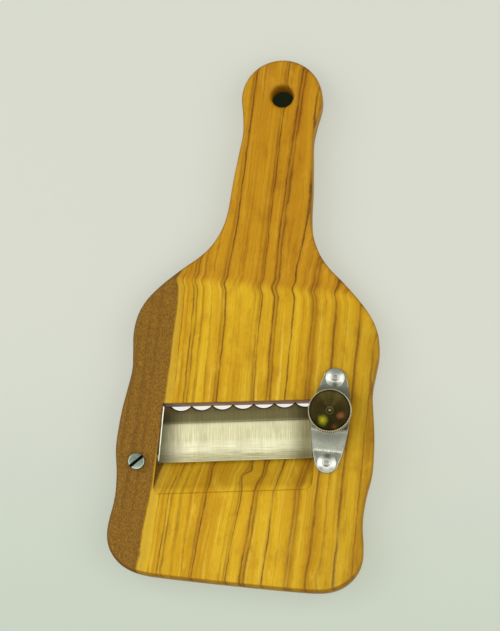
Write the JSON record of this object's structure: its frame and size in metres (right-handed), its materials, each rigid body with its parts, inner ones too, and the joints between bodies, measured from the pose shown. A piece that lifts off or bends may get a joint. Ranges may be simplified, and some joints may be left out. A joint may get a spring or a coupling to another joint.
{
  "type": "adjustable hand slicer",
  "caption": "Wooden paddle hand slicer with a hanging hole, a scalloped steel blade that tilts about a rod over a through window, and a knurled thickness knob on a riveted bracket.",
  "frame": {"origin": "centre of the board's outline, on the board's back face", "axes": "+Z out of the front face, which carries the blade; +Y towards the handle; +X to the right seen from the front, where the knob is"},
  "size_m": [0.1098, 0.23, 0.031],
  "materials": {
    "board_wood": "oiled olive wood, satin",
    "blade_steel": "fine brushed stainless steel",
    "rod_steel": "drawn bright steel",
    "plug_wood": "wood end grain, oiled",
    "screw_zinc": "bright zinc plated steel",
    "washer_zinc": "bright zinc plated steel",
    "nut_zinc": "yellowed zinc plated steel",
    "bracket_steel": "brushed stainless steel sheet",
    "rivet_aluminium": "bright aluminium, smooth domes",
    "mandrel_steel": "snapped steel ends",
    "rivet_washer_steel": "plain steel",
    "bush_brass": "turned brass",
    "knob_metal": "nickel plated, dark polished face and straight knurl",
    "stud_steel": "threaded steel",
    "spring_steel": "spring steel wire",
    "spring_washer_steel": "plain steel",
    "swivel_brass": "turned brass",
    "clip_steel": "blackened spring steel"
  },
  "bodies": {
    "board_body": {"board": "board_wood", "pivot_rod": "rod_steel", "rod_hole_plug": "plug_wood", "pivot_lock_screw": "screw_zinc", "lock_screw_washer": "washer_zinc", "lock_screw_nut": "nut_zinc", "bracket": "bracket_steel", "bracket_rivets": "rivet_aluminium", "rivet_mandrels": "mandrel_steel", "rivet_washers": "rivet_washer_steel", "threaded_bush": "bush_brass", "knob_spring": "spring_steel"},
    "blade_body": {"blade": "blade_steel"},
    "swivel_body": {"swivel_bush": "swivel_brass", "spring_washer": "spring_washer_steel"},
    "knob_body": {"knob": "knob_metal", "adjusting_stud": "stud_steel", "retaining_clip": "clip_steel"}
  },
  "joints": [
    {"name": "knob_travel", "type": "slide", "parent": "board_body", "child": "swivel_body", "axis": [0, 0, 1], "range_m": [-0.0014, 0], "deforming": ["knob_spring"]},
    {"name": "knob_turn", "type": "hinge", "parent": "swivel_body", "child": "knob_body", "pos_m": [0.0355, -0.04, 0.02], "axis": [0, 0, 1], "range_deg": [-630, 0]},
    {"name": "blade_tilt", "type": "hinge", "parent": "board_body", "child": "blade_body", "pos_m": [-0.00044, -0.05883, 0.0082], "axis": [0.9914, 0.1305, 0], "range_deg": [-5.75, 0]}
  ],
  "couplings": [
    {"joint": "knob_turn", "follows": "knob_travel", "rad_per_m": 7854},
    {"joint": "blade_tilt", "follows": "knob_travel", "rad_per_m": 71.549}
  ]
}
